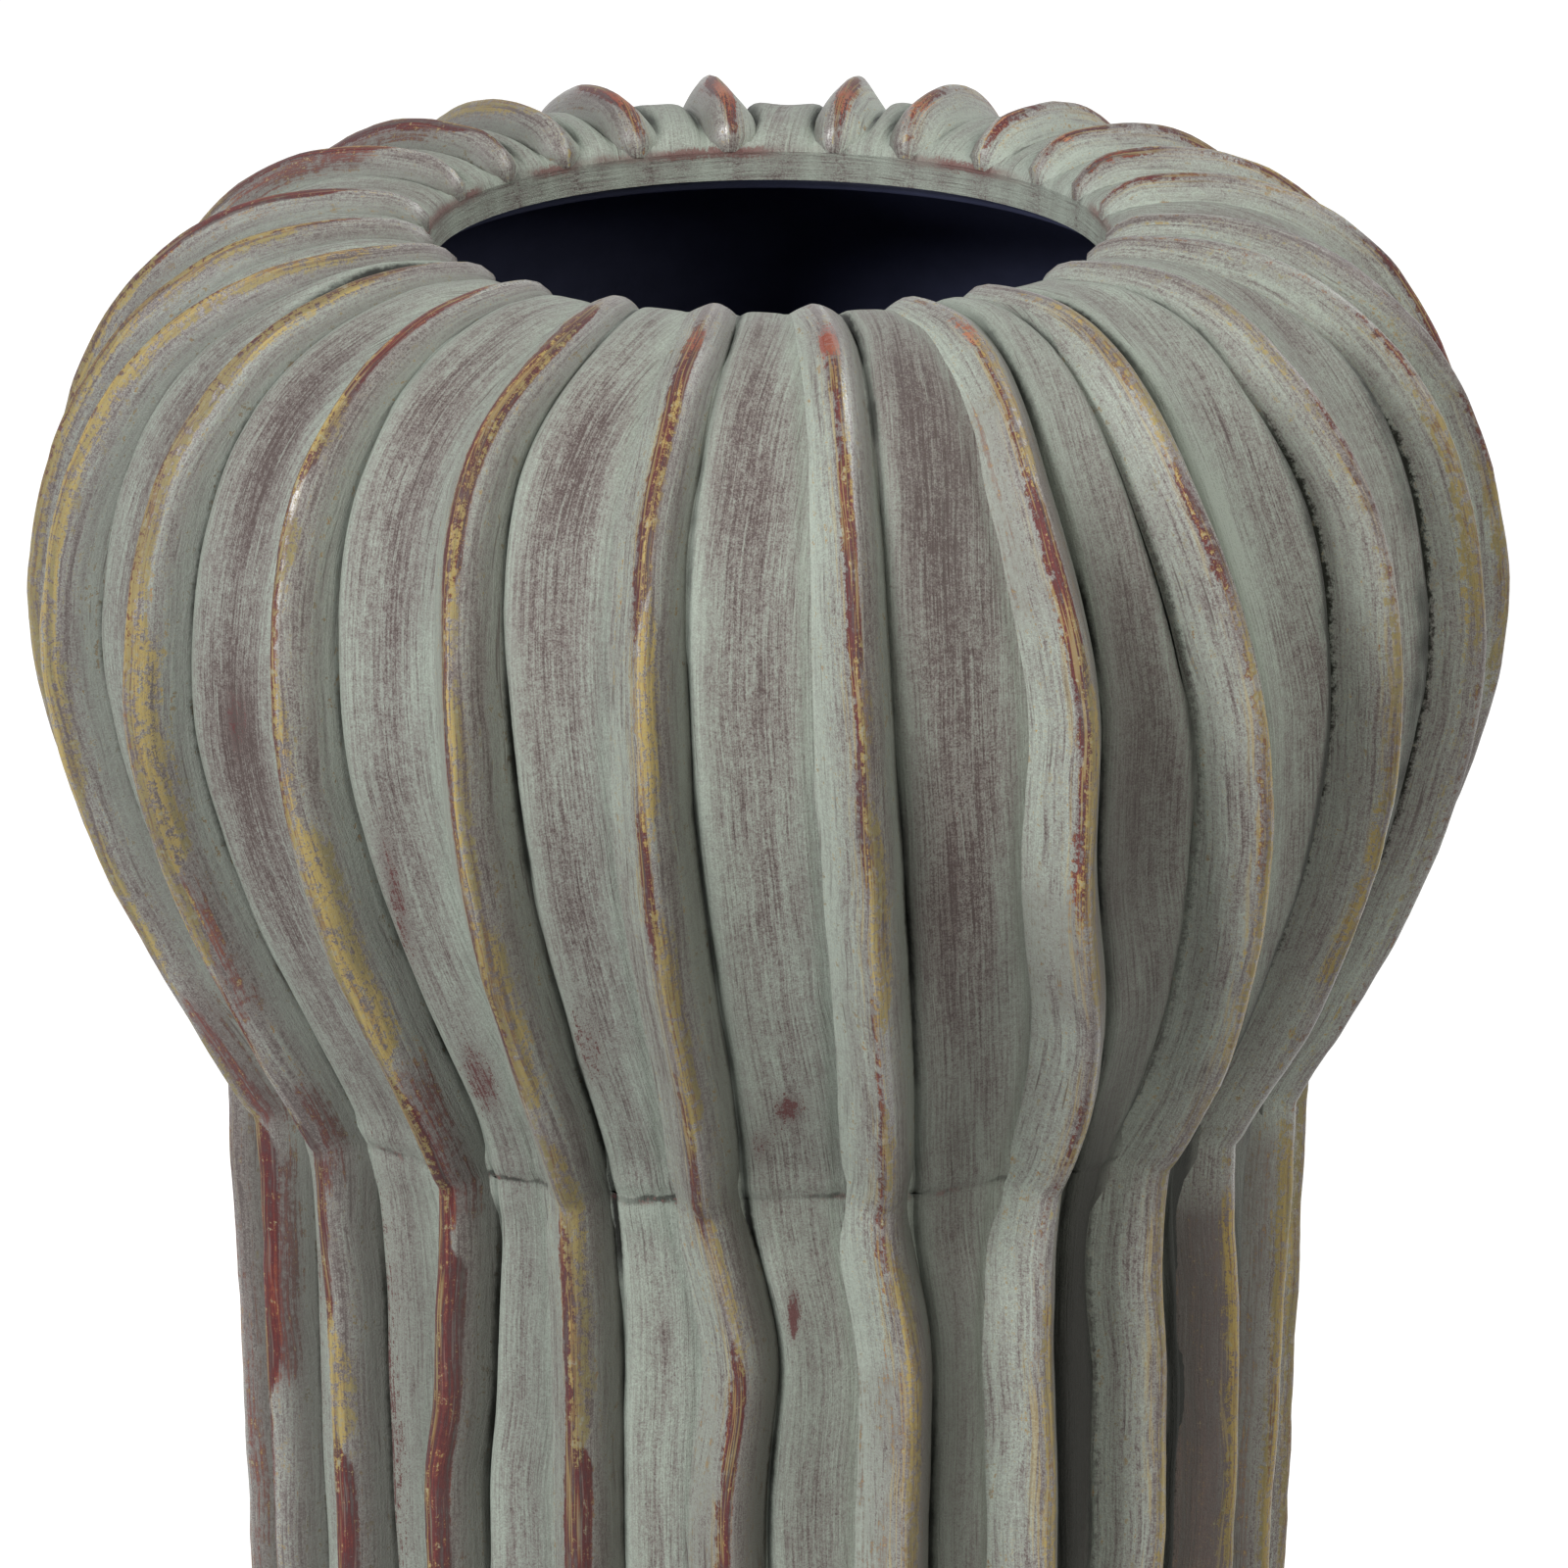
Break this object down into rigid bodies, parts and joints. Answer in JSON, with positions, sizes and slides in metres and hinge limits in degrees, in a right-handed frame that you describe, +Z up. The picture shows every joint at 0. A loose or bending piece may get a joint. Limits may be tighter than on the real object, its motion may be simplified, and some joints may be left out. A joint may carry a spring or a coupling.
{
  "type": "ribbed terracotta vase",
  "caption": "Tall terracotta vase with a bulbous head on a column, applied clay ribs from mouth to foot and a sunken open mouth.",
  "frame": {"origin": "middle of the underside of the base, on the surface that the vase stands on", "axes": "+Z up along the vase's axis; the front of the picture faces -Y, +X to its right"},
  "size_m": [0.3, 0.2979, 0.4539],
  "materials": {
    "painted_wall": "sage wash brushed over red-brown slip on fired terracotta, worn, satin",
    "painted_rib": "sage wash worn through to ochre and dark red along the crests, satin",
    "raw_base": "bare fired terracotta with a thin sage wash on its edge, matt"
  },
  "bodies": {
    "root": {"base_slab": "raw_base", "column_shell": "painted_wall", "bulb_shell": "painted_wall", "rib_01": "painted_rib", "rib_02": "painted_rib", "rib_03": "painted_rib", "rib_04": "painted_rib", "rib_05": "painted_rib", "rib_06": "painted_rib", "rib_07": "painted_rib", "rib_08": "painted_rib", "rib_09": "painted_rib", "rib_10": "painted_rib", "rib_11": "painted_rib", "rib_12": "painted_rib", "rib_13": "painted_rib", "rib_14": "painted_rib", "rib_15": "painted_rib", "rib_16": "painted_rib", "rib_17": "painted_rib", "rib_18": "painted_rib", "rib_19": "painted_rib", "rib_20": "painted_rib", "rib_21": "painted_rib", "rib_22": "painted_rib", "rib_23": "painted_rib", "rib_24": "painted_rib"}
  },
  "joints": []
}
